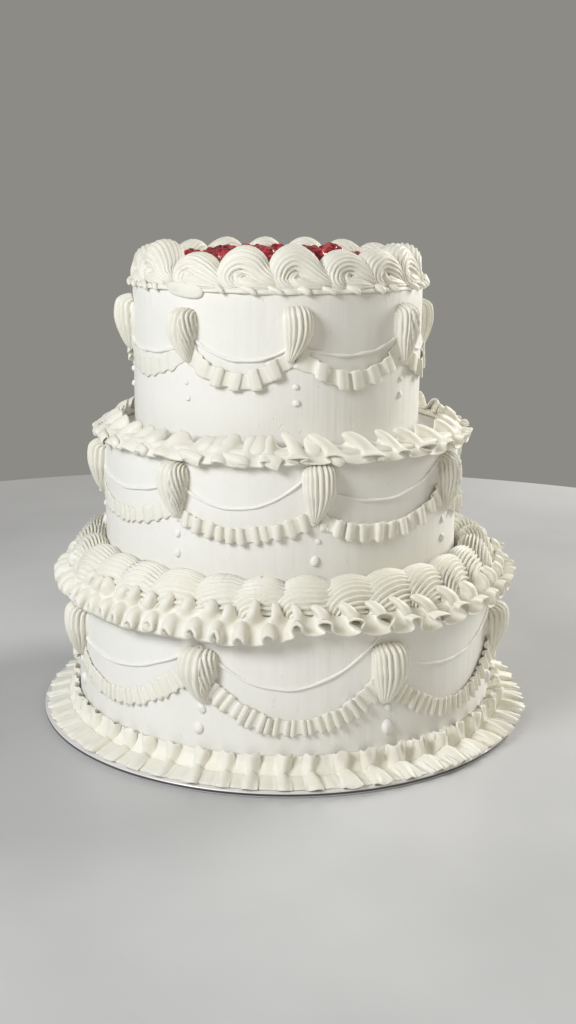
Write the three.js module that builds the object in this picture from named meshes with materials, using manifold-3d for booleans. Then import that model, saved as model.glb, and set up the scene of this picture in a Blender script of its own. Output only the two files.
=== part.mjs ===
// A three-tier buttercream wedding cake on its round board, in millimetres, +Z up.
// The origin is the centre of the board's underside. Angles run round the cake in degrees:
// 0 is the front (-Y) and positive angles turn towards +X.

import * as THREE from 'three';
import { mergeVertices } from 'three/addons/utils/BufferGeometryUtils.js';
import Module from 'manifold-3d';

const wasm = await Module();
wasm.setup();

// ---------------------------------------------------------------- driving dimensions

const GAP = 0.3;                  // clearance between pieces that rest on each other
const BOARD_RADIUS = 177.8;       // a 14 inch board
const BOARD_THICKNESS = 4;
const BOARD_SIDES = 48;
const TIER_HEIGHT = 101.6;        // each tier is 4 inches tall

// Each tier: its radius, how far it sits off the board's centre, and its side decoration.
// Heights are above the tier's own base.
const BOTTOM = {
  name: 'bottom',
  radius: 152.4,
  centreX: 1.3,
  base: BOARD_THICKNESS + GAP,
  shellAngles: [-69, -21.5, 26.4, 73, 117, 160, 204, 247],
  shellTop: 85,
  shellLifts: [0, 0, 1.5, 0, 0, 0, 0, 0],
  shellTip: 44,
  shellWidth: 24,
  shellDepth: 12,
  stringEnd: 76,
  stringLow: 58,
  stringSide: 0.6,
  ruffleEnd: 51,
  ruffleLow: 32,
  ruffleHeight: 10.5,
  ruffleDepth: 5.5,
  pleats: 5,
  dotHeights: [36.5, 27],
  dotRadius: 2,
};
const MIDDLE = {
  name: 'middle',
  radius: 127,
  centreX: -2.7,
  base: BOARD_THICKNESS + TIER_HEIGHT,
  shellAngles: [-80, -33.3, 10.3, 62, 105, 150, 195, 238],
  shellTop: 95,
  shellLifts: [0, 0.5, 0.7, 0, 0.3, 0, 0.5, 0],
  shellTip: 56,
  shellWidth: 21,
  shellDepth: 11.5,
  stringEnd: 80,
  stringLow: 67,
  stringSide: 0.8,
  ruffleEnd: 61,
  ruffleLow: 49,
  ruffleHeight: 10.5,
  ruffleDepth: 5.5,
  pleats: 5,
  dotHeights: [47, 35],
  dotRadius: 1.7,
};
const TOP = {
  name: 'top',
  radius: 101.6,
  centreX: -6.4,
  base: BOARD_THICKNESS + 2 * TIER_HEIGHT,
  shellAngles: [-81, -36.2, 7.2, 56.5, 100, 145, 189, 234],
  shellTop: 90,
  shellLifts: [1, 1.5, 5.5, 2, 0, 1, 0, 2],
  shellTip: 52,
  shellWidth: 17.5,
  shellDepth: 11,
  stringEnd: 68.5,
  stringLow: 59,
  stringSide: 0.2,
  ruffleEnd: 54,
  ruffleLow: 44,
  ruffleHeight: 11,
  ruffleDepth: 5.5,
  pleats: 4,
  dotHeights: [41, 31],
  dotRadius: 1.3,
};
const TIERS = [BOTTOM, MIDDLE, TOP];

// Piped string that hangs between the drop shells
const STRING_RADIUS = 1;
const STRING_STEPS = 4;
const STRING_EASE = 1;            // a string starts this far from a drop shell's side

// Large swirls round the top of the cake, and the thin ruffle that they sit on
const SWIRL_COUNT = 18;
const SWIRL_RING_RADIUS = 86;
const SWIRL_LENGTH = 38;
const SWIRL_WIDTH = 29;
const SWIRL_HEIGHT = 25;
const SWIRL_TAIL_OUT = 5;         // each tail bends out towards the rim
const SKIRT_TIPS = 28;
const SKIRT_WIDTH = 26;
const SKIRT_THICKNESS = 2.6;

// Ring borders
const MIDDLE_RUFFLE_LOBES = 37;
const BOTTOM_RUFFLE_LOBES = 42;
const BASE_RUFFLE_BOWS = 42;
const BORDER_SHELLS = 31;
const BORDER_HEIGHT = 28;

// Red berries heaped inside the ring of swirls
const HEAP_RADIUS = 66;
const HEAP_HEIGHT = 14;
const HEAP_SIDES = 10;
const BERRY_RADIUS = 9.5;
const BERRY_RINGS = [0, 20, 39.5, 58.5];
const BERRY_SPACING = 25.5;

const CREAM = new THREE.MeshStandardMaterial({ color: 0xf1efe6, roughness: 0.55, metalness: 0 });
const ICING = new THREE.MeshStandardMaterial({ color: 0xf3f2ec, roughness: 0.5, metalness: 0 });
const BERRY = new THREE.MeshStandardMaterial({ color: 0x8c1522, roughness: 0.2, metalness: 0 });
const FOIL = new THREE.MeshStandardMaterial({ color: 0xb9b9c0, roughness: 0.25, metalness: 1 });

// ---------------------------------------------------------------- helpers

function seededRandom(seed) {
  let state = seed;
  return () => {
    state = (state * 1664525 + 1013904223) % 4294967296;
    return state / 4294967296;
  };
}

function topOf(tier) {
  return tier.base + TIER_HEIGHT - GAP;
}

// A point round a tier's axis
function polar(tier, degrees, radius, height) {
  const angle = THREE.MathUtils.degToRad(degrees);
  return [tier.centreX + radius * Math.sin(angle), -radius * Math.cos(angle), height];
}

function geometryOf(points, faces) {
  const geometry = new THREE.BufferGeometry();
  geometry.setAttribute('position', new THREE.Float32BufferAttribute(points.flat(), 3));
  geometry.setIndex(faces.flat());
  return geometry;
}

function signedVolume(points, faces) {
  let sum = 0;
  for (const [a, b, c] of faces) {
    const [p, q, r] = [points[a], points[b], points[c]];
    sum += p[0] * (q[1] * r[2] - q[2] * r[1]);
    sum += p[1] * (q[2] * r[0] - q[0] * r[2]);
    sum += p[2] * (q[0] * r[1] - q[1] * r[0]);
  }
  return sum / 6;
}

// A closed solid through rings of equal point counts. A looped one joins its last ring to
// its first; otherwise both ends are closed with a fan.
function loft(rings, looped) {
  const size = rings[0].length;
  const points = rings.flat();
  const faces = [];
  const joints = looped ? rings.length : rings.length - 1;
  for (let ring = 0; ring < joints; ring += 1) {
    const next = (ring + 1) % rings.length;
    for (let side = 0; side < size; side += 1) {
      const after = (side + 1) % size;
      const a = ring * size + side;
      const b = ring * size + after;
      const c = next * size + after;
      const d = next * size + side;
      faces.push([a, b, c], [a, c, d]);
    }
  }
  if (!looped) {
    const last = (rings.length - 1) * size;
    for (let side = 1; side < size - 1; side += 1) {
      faces.push([0, side + 1, side], [last, last + side, last + side + 1]);
    }
  }
  if (signedVolume(points, faces) < 0) {
    faces.forEach((face) => face.reverse());
  }
  return solidOf(geometryOf(points, faces));
}

function solidOf(geometry) {
  const bare = geometry.clone();
  bare.deleteAttribute('normal');
  bare.deleteAttribute('uv');
  const merged = mergeVertices(bare, 1e-4);
  const corners = [];
  for (let face = 0; face < merged.index.count; face += 3) {
    const [a, b, c] = merged.index.array.slice(face, face + 3);
    if (a !== b && b !== c && c !== a) {
      corners.push(a, b, c);
    }
  }
  return new wasm.Manifold(new wasm.Mesh({
    numProp: 3,
    vertProperties: new Float32Array(merged.attributes.position.array),
    triVerts: new Uint32Array(corners),
  }));
}

function largestBody(solid) {
  const bodies = solid.decompose();
  return bodies.reduce((best, body) => (body.volume() > best.volume() ? body : best));
}

function join(solids) {
  return solids.reduce((whole, solid) => whole.add(solid));
}

function meshOf(name, solid, material) {
  const { vertProperties, triVerts, numProp } = solid.getMesh();
  const geometry = new THREE.BufferGeometry();
  geometry.setAttribute('position', new THREE.BufferAttribute(vertProperties, numProp));
  geometry.setIndex(new THREE.BufferAttribute(triVerts, 1));
  geometry.computeVertexNormals();
  const mesh = new THREE.Mesh(geometry, material);
  mesh.name = name;
  return mesh;
}

// A lathe turned about +Z, from a profile of [radius, height] that starts and ends on the axis
function turned(profile, sides, centreX) {
  const outline = profile.map(([radius, height]) => new THREE.Vector2(radius, height));
  const geometry = new THREE.LatheGeometry(outline, sides);
  geometry.rotateX(Math.PI / 2);
  geometry.translate(centreX, 0, 0);
  return solidOf(geometry);
}

// A ring border: `section(station)` gives its outline as [tier, radius, height] points, each
// round the axis of the tier that it follows
function ringBorder(stations, section) {
  const rings = [];
  for (let station = 0; station < stations; station += 1) {
    const degrees = (station * 360) / stations;
    rings.push(section(station).map(([tier, radius, height]) => (
      polar(tier, degrees, radius, height))));
  }
  return loft(rings, true);
}

// ---------------------------------------------------------------- a fluted, piped drop

const DROP_WIDEST = 0.62;         // where along its length a drop is widest
const DROP_LEVELS = [0, 0.36, 0.68, 0.96];
const DROP_TIP_SHARE = 0.2;
const RIDGE_DEPTH = 0.13;
const SHELL_RIDGES = 3;
const SWIRL_RIDGES = 3;

function dropFullness(along) {
  if (along < DROP_WIDEST) {
    const rise = Math.sin((along / DROP_WIDEST) * (Math.PI / 2));
    return DROP_TIP_SHARE + (1 - DROP_TIP_SHARE) * rise;
  }
  const fall = (along - DROP_WIDEST) / (1 - DROP_WIDEST);
  return Math.sqrt(1 - fall * fall);
}

// Rings from the tip to the round head. `place(along, across, out)` puts a point in the model.
function flutedDrop(size, place) {
  const rings = DROP_LEVELS.map((along) => {
    const fullness = dropFullness(along);
    const ring = [];
    for (let step = 0; step <= 2 * size.ridges; step += 1) {
      const turn = Math.PI * (step / (2 * size.ridges) - 0.5);
      const inside = step > 0 && step < 2 * size.ridges;
      const groove = inside && step % 2 === 0 ? 1 - RIDGE_DEPTH : 1;
      const across = (size.width / 2) * fullness * Math.sin(turn) * groove;
      const out = inside ? size.depth * fullness * Math.cos(turn) * groove : 0;
      ring.push(place(along, across, out));
    }
    ring.push(place(along, 0, 0));
    return ring;
  });
  return loft(rings, false);
}

// ---------------------------------------------------------------- the board and the tiers

function cakeBoard() {
  const edge = BOARD_THICKNESS / 2;
  const profile = [
    [0, 0],
    [BOARD_RADIUS - 0.6, 0],
    [BOARD_RADIUS, edge],
    [BOARD_RADIUS - 0.6, BOARD_THICKNESS],
    [0, BOARD_THICKNESS],
  ];
  return meshOf('cake_board', turned(profile, BOARD_SIDES, 0), FOIL);
}

// How high a swag hangs at `share` of its span, from its ends and its lowest point
function swagHeight(share, end, low, side) {
  const bend = (2 * share - 1) ** 2;
  const tilt = side * (share - 0.5) * (end - low);
  return low + (end - low) * bend + tilt;
}

function swagAngles(tier, index) {
  const from = tier.shellAngles[index];
  const to = tier.shellAngles[(index + 1) % tier.shellAngles.length];
  return [from, to > from ? to : to + 360];
}

// Where the wall has an upright row of points in one swag, and whether the string shows there
function wallColumns(tier, index) {
  const [from, to] = swagAngles(tier, index);
  const edge = THREE.MathUtils.radToDeg((tier.shellWidth / 2 + STRING_EASE) / tier.radius);
  const ease = THREE.MathUtils.radToDeg(STRING_EASE / tier.radius);
  const columns = [{ degrees: from + edge, share: 0, raised: 0 }];
  for (let step = 0; step <= STRING_STEPS; step += 1) {
    const share = step / STRING_STEPS;
    const degrees = from + edge + ease + (to - from - 2 * edge - 2 * ease) * share;
    columns.push({ degrees, share, raised: 1 });
  }
  columns.push({ degrees: to - edge, share: 1, raised: 0 });
  return columns;
}

// The round wall with its piped strings, each string a low ridge that hangs between two shells
function wallWithStrings(tier) {
  const top = topOf(tier);
  const rings = tier.shellAngles.flatMap((angle, index) => (
    wallColumns(tier, index).map(({ degrees, share, raised }) => {
      const hang = swagHeight(share, tier.stringEnd, tier.stringLow, tier.stringSide);
      const middle = tier.base + hang;
      return [
        polar(tier, degrees, 0, tier.base),
        polar(tier, degrees, tier.radius, tier.base),
        polar(tier, degrees, tier.radius, middle - STRING_RADIUS),
        polar(tier, degrees, tier.radius + 1.3 * STRING_RADIUS * raised, middle),
        polar(tier, degrees, tier.radius, middle + STRING_RADIUS),
        polar(tier, degrees, tier.radius, top),
        polar(tier, degrees, 0, top),
      ];
    })));
  return loft(rings, true);
}

// A small pointed dot under a drop shell's tip
function pipedDot(tier, degrees, height) {
  const sunk = 1;
  const geometry = new THREE.ConeGeometry(1.5 * tier.dotRadius, 2 * tier.dotRadius + sunk, 5);
  const [x, y, z] = polar(tier, degrees, tier.radius + tier.dotRadius - sunk, tier.base + height);
  geometry.rotateZ(THREE.MathUtils.degToRad(degrees) + Math.PI);
  geometry.translate(x, y, z);
  return solidOf(geometry);
}

function tierSolid(tier) {
  const pieces = [wallWithStrings(tier)];
  for (const degrees of tier.shellAngles) {
    tier.dotHeights.forEach((height) => pieces.push(pipedDot(tier, degrees, height)));
  }
  return meshOf(`tier_${tier.name}`, largestBody(join(pieces)), ICING);
}

// ---------------------------------------------------------------- ruffle swags and drop shells

const TIE_HEIGHT = 3;             // a thin strip ties two swags together under a shell's tip
const TIE_DEPTH = 1.6;
const TIE_EDGES = [-0.36, 0.36];  // where it starts and ends, in shell widths

// The pleated ruffle that hangs in swags round a tier, as one closed ring
function ruffleSwags(tier) {
  const back = tier.radius + GAP;
  const rings = [];
  const outline = (degrees, level, height, depth) => [
    polar(tier, degrees, back, tier.base + level - 0.4 * height),
    polar(tier, degrees, back + depth, tier.base + level - 0.5 * height),
    polar(tier, degrees, back + 0.8 * depth, tier.base + level + 0.45 * height),
    polar(tier, degrees, back, tier.base + level + 0.5 * height),
  ];
  tier.shellAngles.forEach((angle, index) => {
    const [from, to] = swagAngles(tier, index);
    const shellWidth = THREE.MathUtils.radToDeg(tier.shellWidth / tier.radius);
    const tieLevel = tier.shellTip + tier.shellLifts[index] - GAP - TIE_HEIGHT / 2;
    for (const edge of TIE_EDGES) {
      rings.push(outline(from + edge * shellWidth, tieLevel, TIE_HEIGHT, TIE_DEPTH));
    }
    const start = from + (TIE_EDGES[1] + 0.06) * shellWidth;
    const end = to - (TIE_EDGES[1] + 0.06) * shellWidth;
    const last = 2 * tier.pleats;
    for (let station = 0; station <= last; station += 1) {
      const share = station / last;
      const level = swagHeight(share, tier.ruffleEnd, tier.ruffleLow, 0);
      const depth = tier.ruffleDepth * (station % 2 === 0 ? 1 : 0.5);
      rings.push(outline(start + (end - start) * share, level, tier.ruffleHeight, depth));
    }
  });
  return loft(rings, true);
}

function dropShells(tier) {
  const length = tier.shellTop - tier.shellTip;
  const size = { width: tier.shellWidth, depth: tier.shellDepth, ridges: SHELL_RIDGES };
  return tier.shellAngles.map((degrees, index) => {
    const place = (along, across, out) => {
      const turn = THREE.MathUtils.radToDeg(across / tier.radius);
      const level = tier.base + tier.shellTip + tier.shellLifts[index] + along * length;
      return polar(tier, degrees + turn, tier.radius + GAP + out, level);
    };
    return meshOf(`drop_shell_${tier.name}_${index + 1}`, flutedDrop(size, place), CREAM);
  });
}

// ---------------------------------------------------------------- ring borders

// Every second station of a border is a full lobe, and those between are pinched
function isFull(station) {
  return station % 2 === 1 ? 1 : 0;
}

// Petals that lean on the bottom tier's wall, a pinched seam, and petals that spread on the board
function baseRuffle() {
  const wall = BOTTOM.radius + GAP;
  const floor = BOARD_THICKNESS + GAP;
  const solid = ringBorder(2 * BASE_RUFFLE_BOWS, (station) => {
    const full = isFull(station);
    return [
      [BOTTOM, wall, floor],
      [BOTTOM, wall, floor + 8 + 4 * full],
      [BOTTOM, wall + 3, floor + 9 + 3.5 * full],
      [BOTTOM, wall + 7, floor + 3.5],
      [BOTTOM, wall + 14 + 8 * full, floor + 1.6 + 3 * full],
      [BOTTOM, wall + 13.5 + 8 * full, floor],
    ];
  });
  return meshOf('base_ruffle', solid, CREAM);
}

// Puffs on the bottom tier's ledge with loops that hang over its rim
function bottomTierRuffle() {
  const ledge = topOf(BOTTOM) + GAP;
  const rim = BOTTOM.radius + GAP;
  const solid = ringBorder(2 * BOTTOM_RUFFLE_LOBES, (station) => {
    const full = isFull(station);
    return [
      [BOTTOM, rim - 7, ledge],
      [BOTTOM, rim - 1.5, ledge + 8 + 4 * full],
      [BOTTOM, rim + 4, ledge + 5 + 3 * full],
      [BOTTOM, rim + 6 + 5.5 * full, ledge - 3 + full],
      [BOTTOM, rim + GAP, ledge - 6 - 2.5 * full],
      [BOTTOM, rim + GAP, ledge],
    ];
  });
  return meshOf('bottom_tier_ruffle', solid, CREAM);
}

// Round lobes on the middle tier's ledge with lips that hang over its rim
function middleTierRuffle() {
  const ledge = topOf(MIDDLE) + GAP;
  const rim = MIDDLE.radius + GAP;
  const wall = TOP.radius + GAP;
  const solid = ringBorder(2 * MIDDLE_RUFFLE_LOBES, (station) => {
    const full = isFull(station);
    return [
      [TOP, wall, ledge],
      [TOP, wall + 1, ledge + 10 + 4.5 * full],
      [TOP, wall + 7, ledge + 10 + 4.5 * full],
      [MIDDLE, rim + 3.5 + 4 * full, ledge - full],
      [MIDDLE, rim + GAP, ledge - 4.5 - full],
      [MIDDLE, rim + GAP, ledge],
    ];
  });
  return meshOf('middle_tier_ruffle', solid, CREAM);
}

// How full each station of one border shell is, from the tail before it to its own tail
const BORDER_FULLNESS = [0.72, 1, 0.94];

// Large fluted shells end to end round the middle tier's base, each tail under the next head
function shellBorder() {
  const ledge = topOf(BOTTOM) + GAP;
  const wall = MIDDLE.radius + GAP;
  const rim = BOTTOM.radius;
  const solid = ringBorder(BORDER_FULLNESS.length * BORDER_SHELLS, (station) => {
    const fullness = BORDER_FULLNESS[station % BORDER_FULLNESS.length];
    const rise = BORDER_HEIGHT * fullness;
    return [
      [MIDDLE, wall, ledge],
      [MIDDLE, wall, ledge + 0.8 * rise],
      [MIDDLE, wall + 7 * fullness, ledge + rise],
      [MIDDLE, wall + 14 * fullness, ledge + 0.88 * rise],
      [BOTTOM, rim - 11 + 6.5 * fullness, ledge + 0.5 * rise],
      [BOTTOM, rim - 10.5, ledge],
    ];
  });
  return meshOf('shell_border', solid, CREAM);
}

// The thin wavy ruffle that lies on the top tier's rim, under the swirls
function topSkirt() {
  const ledge = topOf(TOP) + GAP;
  const rim = TOP.radius + GAP;
  const inner = rim - SKIRT_WIDTH;
  const solid = ringBorder(2 * SKIRT_TIPS, (station) => {
    const full = isFull(station);
    return [
      [TOP, inner, ledge],
      [TOP, inner, ledge + SKIRT_THICKNESS],
      [TOP, rim + 2.5 + 2.5 * full, ledge + SKIRT_THICKNESS - 1 - full],
      [TOP, rim + GAP, ledge - 2 - 2 * full],
      [TOP, rim + GAP, ledge],
    ];
  });
  return meshOf('top_skirt_ruffle', solid, CREAM);
}

// ---------------------------------------------------------------- the top's swirls and berries

function swirlSolid(index, grow = 0) {
  const random = seededRandom(100 + index);
  const tail = ((index + 0.85) * 360) / SWIRL_COUNT + (random() - 0.5) * 2;
  const length = SWIRL_LENGTH * (0.97 + 0.06 * random()) + 2 * grow;
  const size = {
    width: SWIRL_WIDTH + 2 * grow,
    depth: SWIRL_HEIGHT * (0.95 + 0.08 * random()) + grow,
    ridges: SWIRL_RIDGES,
  };
  const floor = topOf(TOP) + 2 * GAP + SKIRT_THICKNESS - grow;
  return flutedDrop(size, (along, across, out) => {
    const turn = THREE.MathUtils.radToDeg((along * length - grow) / SWIRL_RING_RADIUS);
    const bend = SWIRL_TAIL_OUT * (1 - along) ** 2;
    return polar(TOP, tail - turn, SWIRL_RING_RADIUS + across + bend, floor + out);
  });
}

// Each swirl is cut where the next one's head lies over its tail
function topSwirls() {
  const swirls = [];
  for (let index = 0; index < SWIRL_COUNT; index += 1) {
    const next = swirlSolid((index + 1) % SWIRL_COUNT, 1.5 * GAP);
    const swirl = largestBody(swirlSolid(index).subtract(next));
    swirls.push(meshOf(`top_swirl_${index + 1}`, swirl, CREAM));
  }
  return swirls;
}

// A low mound with berries fused on, in rings round the middle
function berryHeap() {
  const random = seededRandom(41);
  const floor = topOf(TOP) + GAP;
  const mound = [
    [0, floor],
    [HEAP_RADIUS, floor],
    [HEAP_RADIUS, floor + 0.25 * HEAP_HEIGHT],
    [0, floor + HEAP_HEIGHT],
  ];
  const pieces = [turned(mound, HEAP_SIDES, TOP.centreX)];
  BERRY_RINGS.forEach((radius, ring) => {
    const count = Math.max(1, Math.round((2 * Math.PI * radius) / BERRY_SPACING));
    const fall = (radius / HEAP_RADIUS) ** 2;
    for (let berry = 0; berry < count; berry += 1) {
      const degrees = (360 * (berry + 0.5 * (ring % 2))) / count;
      const lift = HEAP_HEIGHT * (1 - 0.6 * fall) + 1 - 3 * random();
      const height = floor + Math.max(lift, 1.08 * BERRY_RADIUS);
      const geometry = new THREE.IcosahedronGeometry(BERRY_RADIUS * (0.94 + 0.12 * random()), 0);
      geometry.rotateX(Math.PI * random());
      geometry.rotateZ(Math.PI * random());
      geometry.translate(...polar(TOP, degrees, radius, height));
      pieces.push(solidOf(geometry));
    }
  });
  return meshOf('berry_heap', largestBody(join(pieces)), BERRY);
}

// ---------------------------------------------------------------- the whole cake

const cake = new THREE.Group();
cake.add(cakeBoard());
for (const tier of TIERS) {
  cake.add(tierSolid(tier));
  cake.add(meshOf(`ruffle_swags_${tier.name}`, ruffleSwags(tier), CREAM));
  cake.add(...dropShells(tier));
}
cake.add(baseRuffle());
cake.add(bottomTierRuffle());
cake.add(shellBorder());
cake.add(middleTierRuffle());
cake.add(topSkirt());
cake.add(...topSwirls());
cake.add(berryHeap());

export default cake;
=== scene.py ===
import math

import bmesh
import bpy
import numpy as np
from mathutils import Matrix, Vector
from numpy.random import default_rng


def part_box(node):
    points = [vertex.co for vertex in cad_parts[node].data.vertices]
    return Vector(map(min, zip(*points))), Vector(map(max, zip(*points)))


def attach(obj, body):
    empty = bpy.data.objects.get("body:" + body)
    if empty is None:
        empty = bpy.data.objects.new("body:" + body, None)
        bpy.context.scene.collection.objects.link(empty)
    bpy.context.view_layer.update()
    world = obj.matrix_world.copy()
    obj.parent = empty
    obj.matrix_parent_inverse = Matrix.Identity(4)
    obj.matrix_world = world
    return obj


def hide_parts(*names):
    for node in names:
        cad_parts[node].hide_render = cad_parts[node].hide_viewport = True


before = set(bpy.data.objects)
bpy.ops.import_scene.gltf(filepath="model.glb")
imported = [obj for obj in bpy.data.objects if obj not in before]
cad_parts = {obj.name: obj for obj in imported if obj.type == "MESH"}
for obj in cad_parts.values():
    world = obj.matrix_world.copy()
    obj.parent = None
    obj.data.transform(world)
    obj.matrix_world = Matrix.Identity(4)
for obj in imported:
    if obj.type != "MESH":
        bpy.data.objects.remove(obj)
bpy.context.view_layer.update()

# All lengths of the cake are in millimetres until a mesh is made. Angles are round the cake's axis:
# 0 faces the camera and positive is to the right. In the shapes s is a shift along the wall, h a
# height, d a distance from the wall, and n and m are shifts out of a sheet and along it.
MM = 0.001
TURN = 2 * math.pi
TINY = 1e-9


class Tier:
    """A round tier: its radius, the X of its axis, and its base and top from the frame."""

    def __init__(self, node, radius, x):
        low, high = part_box(node)
        self.radius = radius
        self.x = x
        self.base = low.z / MM
        self.top = high.z / MM

    def past_wall(self, knots, level, column=0):
        """The knots with the wall's radius added to one column and a height to the next one."""
        knots = np.array(knots, float)
        knots[:, column] += self.radius
        knots[:, column + 1] += level
        return knots


BOTTOM = Tier("tier_bottom", radius=152.4, x=1.3)
MIDDLE = Tier("tier_middle", radius=127.0, x=-2.7)
TOP = Tier("tier_top", radius=101.6, x=-6.4)
BOARD_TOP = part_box("cake_board")[1].z / MM


# ---------- mesh helpers


def polar(x_axis, angle, radius, z):
    """Points at an angle in radians, a radius and a height."""
    angle, radius, z = np.broadcast_arrays(angle, radius, z)
    return np.stack([x_axis + radius * np.sin(angle), -radius * np.cos(angle), z], -1)


def all_round(count):
    """Angles evenly spread over a whole turn."""
    return np.arange(count) * TURN / count


def unit(vectors):
    """The vectors at a length of 1."""
    return vectors / np.maximum(np.linalg.norm(vectors, axis=-1, keepdims=True), TINY)


def signed_power(x, power):
    """|x| to a power, with the sign of x."""
    return np.sign(x) * np.abs(x) ** power


def ease(x):
    """A soft step from 0 to 1 as x goes from 0 to 1."""
    x = np.clip(x, 0, 1)
    return x * x * (3 - 2 * x)


def curve(knots, places):
    """Rows on a smooth line through the knots (Catmull-Rom). places is a number of rows, evenly
    spread over the knots, or their places from 0 to 1."""
    knots = np.array(knots, float)
    padded = np.vstack([2 * knots[0] - knots[1], knots, 2 * knots[-1] - knots[-2]])
    place = np.linspace(0, 1, places) if np.isscalar(places) else places
    place = place * (len(knots) - 1)
    i = np.minimum(place.astype(int), len(knots) - 2)
    t = (place - i)[:, None]
    a, b, c, d = padded[i], padded[i + 1], padded[i + 2], padded[i + 3]
    return 0.5 * (2 * b + (c - a) * t + (2 * a - 5 * b + 4 * c - d) * t**2
                  + (3 * b - a - 3 * c + d) * t**3)


def grid_quads(rows, columns, wrap_rows, wrap_columns):
    """The faces of a grid of points, which may close on itself either way."""
    r = np.arange(rows if wrap_rows else rows - 1)
    c = np.arange(columns if wrap_columns else columns - 1)
    r, c = np.meshgrid(r, c, indexing="ij")
    r1, c1 = (r + 1) % rows, (c + 1) % columns
    quads = [r * columns + c, r * columns + c1, r1 * columns + c1, r1 * columns + c]
    return np.stack(quads, -1).reshape(-1, 4)


class Body:
    """Closed surfaces gathered into one mesh."""

    def __init__(self):
        self.points, self.faces, self.count = [], [], 0

    def add(self, points, faces):
        """Adds a closed surface and turns it outwards."""
        volume = 0.0
        for f in faces:
            for k in range(1, f.shape[1] - 1):
                a, b, c = points[f[:, 0]], points[f[:, k]], points[f[:, k + 1]]
                volume += float(np.sum(a * np.cross(b, c)))
        for f in faces:
            self.faces.append((f if volume > 0 else f[:, ::-1]) + self.count)
        self.points.append(points)
        self.count += len(points)

    def tube(self, rings):
        """rings (rows, columns, 3): closed round each row, with a cap at both ends."""
        rows, columns, _ = rings.shape
        points = np.vstack([rings.reshape(-1, 3), rings[0].mean(0), rings[-1].mean(0)])
        c = np.arange(columns)
        n = (c + 1) % columns
        first = np.stack([np.full(columns, rows * columns), n, c], -1)
        last = np.stack([np.full(columns, rows * columns + 1), c, n], -1)
        last[:, 1:] += (rows - 1) * columns
        self.add(points, [grid_quads(rows, columns, False, True), first, last])

    def ring(self, rings):
        """rings (rows, columns, 3): closed round each row and from the last row to the first."""
        rows, columns, _ = rings.shape
        self.add(rings.reshape(-1, 3), [grid_quads(rows, columns, True, True)])

    def ribbon(self, sheet, thickness, closed):
        """A body of that thickness round a sheet of points (rows along, columns across)."""
        if closed:
            along = np.roll(sheet, -1, 0) - np.roll(sheet, 1, 0)
        else:
            along = np.gradient(sheet, axis=0)
        across = np.gradient(sheet, axis=1)
        normal = unit(np.cross(along, across))
        side = unit(across)
        half = np.broadcast_to(np.asarray(thickness, float) / 2, sheet.shape[:2])[..., None]
        front, back = sheet + normal * half, (sheet - normal * half)[:, ::-1]
        last = sheet[:, -1:] + side[:, -1:] * half[:, -1:]
        first = sheet[:, :1] - side[:, :1] * half[:, :1]
        section = np.concatenate([front, last, back, first], 1)
        if closed:
            self.ring(section)
        else:
            self.tube(section)


def add_object(name, data):
    piece = bpy.data.objects.new(name, data)
    bpy.context.scene.collection.objects.link(piece)
    return piece


def make_piece(name, body, material, node):
    """One object of the body's surfaces, which stands for a CAD node."""
    points = np.concatenate(body.points) * MM
    corners = np.concatenate([f.ravel() for f in body.faces]).astype(np.int32)
    sizes = np.concatenate([np.full(len(f), f.shape[1]) for f in body.faces])
    starts = np.concatenate([[0], np.cumsum(sizes)[:-1]]).astype(np.int32)
    mesh = bpy.data.meshes.new(name)
    mesh.vertices.add(len(points))
    mesh.vertices.foreach_set("co", points.astype(np.float32).ravel())
    mesh.loops.add(len(corners))
    mesh.loops.foreach_set("vertex_index", corners)
    mesh.polygons.add(len(sizes))
    mesh.polygons.foreach_set("loop_start", starts)
    mesh.update(calc_edges=True)
    mesh.validate()
    mesh.shade_smooth()
    mesh.materials.append(material)
    piece = add_object(name, mesh)
    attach(piece, "root")
    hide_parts(node)


# ---------- uneven work by hand


def waves(angle, rng, frequencies, amplitude):
    """A smooth uneven value round the cake, of about that amplitude."""
    total = np.zeros_like(np.asarray(angle, float))
    for k in frequencies:
        total += rng.normal() * np.sin(k * angle + rng.uniform(0, TURN))
    return total * amplitude / math.sqrt(len(frequencies))


class Folds:
    """Uneven folds: fold k's crest is near share k / count, and it has values of its own."""

    def __init__(self, count, uneven, rng):
        self.count = count
        self.rng = rng
        self.shift = rng.uniform(-uneven, uneven, count)

    def between(self, share, values):
        """The folds' own values at a share of the way, with a soft change from fold to fold."""
        place = share * self.count
        i = np.floor(place).astype(int)
        t = ease(place - i)
        return values[i % self.count] * (1 - t) + values[(i + 1) % self.count] * t

    def phase(self, share):
        """An angle that grows by a whole turn from crest to crest."""
        return TURN * (share * self.count + self.between(share, self.shift))

    def each(self, share, low, high):
        """A random value of each fold's own between low and high."""
        return self.between(share, self.rng.uniform(low, high, self.count))


def section_angles(first, last, front, back):
    """Angles round a section: front of them from first to last, and back of them over the rest."""
    return np.concatenate([np.linspace(first, last, front),
                           np.linspace(last, TURN + first, back + 2)[1:-1]])[None, :]


def ridge(phase, depth, sharp):
    """1 on a ridge's crest and 1 - depth in the valleys, which are at whole phases. A smaller sharp
    makes the valleys narrower."""
    return 1 - depth * (1 - np.abs(np.sin(math.pi * phase)) ** sharp)


# ---------- materials


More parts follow.
